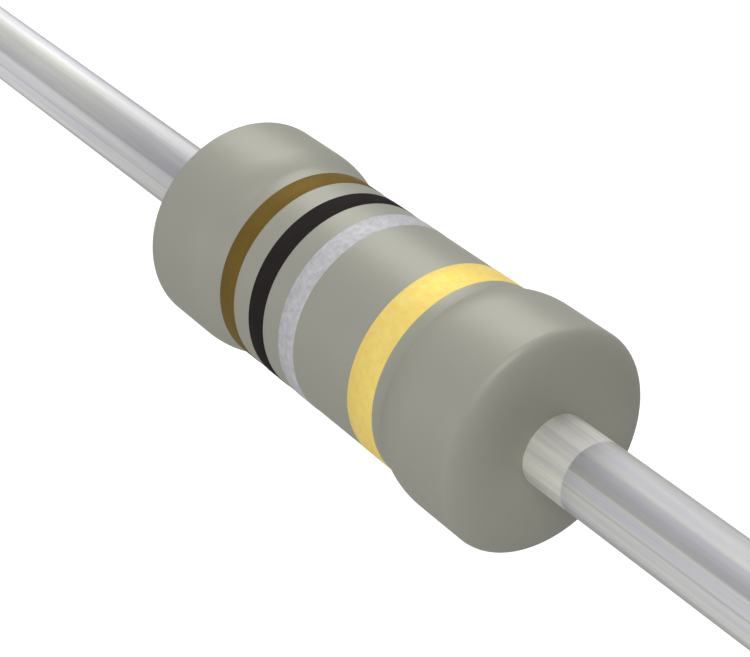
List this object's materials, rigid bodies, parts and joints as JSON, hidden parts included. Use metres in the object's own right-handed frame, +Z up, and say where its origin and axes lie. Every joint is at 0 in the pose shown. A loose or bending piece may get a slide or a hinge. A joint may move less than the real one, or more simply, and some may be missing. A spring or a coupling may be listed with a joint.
{
  "type": "axial resistor",
  "caption": "Axial-lead power resistor: matt grey dog-bone body with painted colour-code rings and a straight tinned wire lead from each end.",
  "frame": {"origin": "middle of the body, on the axis of the leads", "axes": "+X along the leads towards the gold tolerance band's end, +Z up; the part is round about X"},
  "size_m": [0.038, 0.0024, 0.0024],
  "materials": {
    "ceramic": "matt fired alumina",
    "resistance_wire": "bare drawn copper-nickel wire, satin",
    "plated_steel": "pressed and tin plated, satin",
    "tinned_copper": "drawn copper wire, hot tinned, satin with lengthwise draw lines",
    "grey_lacquer": "matt flameproof silicone lacquer, warm grey",
    "brown_paint": "satin paint",
    "black_paint": "satin paint",
    "silver_paint": "fine aluminium-flake paint, faintly mottled",
    "gold_paint": "fine bronze-flake paint, faintly mottled"
  },
  "bodies": {
    "root": {"core_rod": "ceramic", "resistance_winding": "resistance_wire", "left_end_cap": "plated_steel", "right_end_cap": "plated_steel", "left_lead": "tinned_copper", "right_lead": "tinned_copper", "coating": "grey_lacquer", "brown_band": "brown_paint", "black_band": "black_paint", "silver_band": "silver_paint", "gold_band": "gold_paint"}
  },
  "joints": []
}
